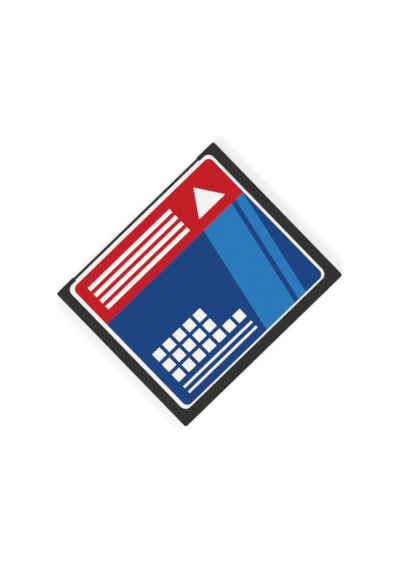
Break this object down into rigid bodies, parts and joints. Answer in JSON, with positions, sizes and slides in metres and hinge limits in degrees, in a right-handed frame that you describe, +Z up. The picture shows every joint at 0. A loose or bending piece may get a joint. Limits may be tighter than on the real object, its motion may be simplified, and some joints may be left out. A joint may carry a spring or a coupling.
{
  "type": "compact flash card",
  "caption": "Flat rectangular storage card: a moulded frame with side guide grooves, bonded steel covers, a printed label and a socket connector along one edge.",
  "frame": {"origin": "middle of the card's footprint, on the plane that its lower rims rest on", "axes": "+Z up through the label side, +Y towards the connector end, +X across the card to the right when the label is read upright"},
  "size_m": [0.0428, 0.0364, 0.0033],
  "materials": {
    "frame_plastic": "fine-textured black moulded plastic",
    "cover_steel": "rolled stainless sheet",
    "bonding_film": "clear amber film",
    "insulating_sheet": "amber film",
    "label_film": "printed film: white margin, a red band and two blues",
    "connector_plastic": "black glass-filled plastic",
    "gold_plate": "gold-plated spring alloy",
    "board_laminate": "green solder resist on glass laminate",
    "chip_plastic": "black moulding compound",
    "tin_plate": "matt tin plate",
    "capacitor_ceramic": "fired ceramic",
    "resistor_glaze": "black glaze"
  },
  "bodies": {
    "root": {"frame": "frame_plastic", "top_cover": "cover_steel", "bottom_cover": "cover_steel", "top_bonding_film": "bonding_film", "bottom_bonding_film": "bonding_film", "top_insulator": "insulating_sheet", "bottom_insulator": "insulating_sheet", "front_label": "label_film", "connector_housing": "connector_plastic", "upper_contacts": "gold_plate", "lower_contacts": "gold_plate", "circuit_board": "board_laminate", "left_memory_chip": "chip_plastic", "left_memory_leads": "tin_plate", "right_memory_chip": "chip_plastic", "right_memory_leads": "tin_plate", "controller_chip": "chip_plastic", "controller_leads": "tin_plate", "voltage_detector": "chip_plastic", "voltage_detector_leads": "tin_plate", "capacitor_bodies": "capacitor_ceramic", "capacitor_ends": "tin_plate", "resistor_bodies": "resistor_glaze", "resistor_ends": "tin_plate", "resistor_array_bodies": "resistor_glaze", "resistor_array_ends": "tin_plate"}
  },
  "joints": []
}
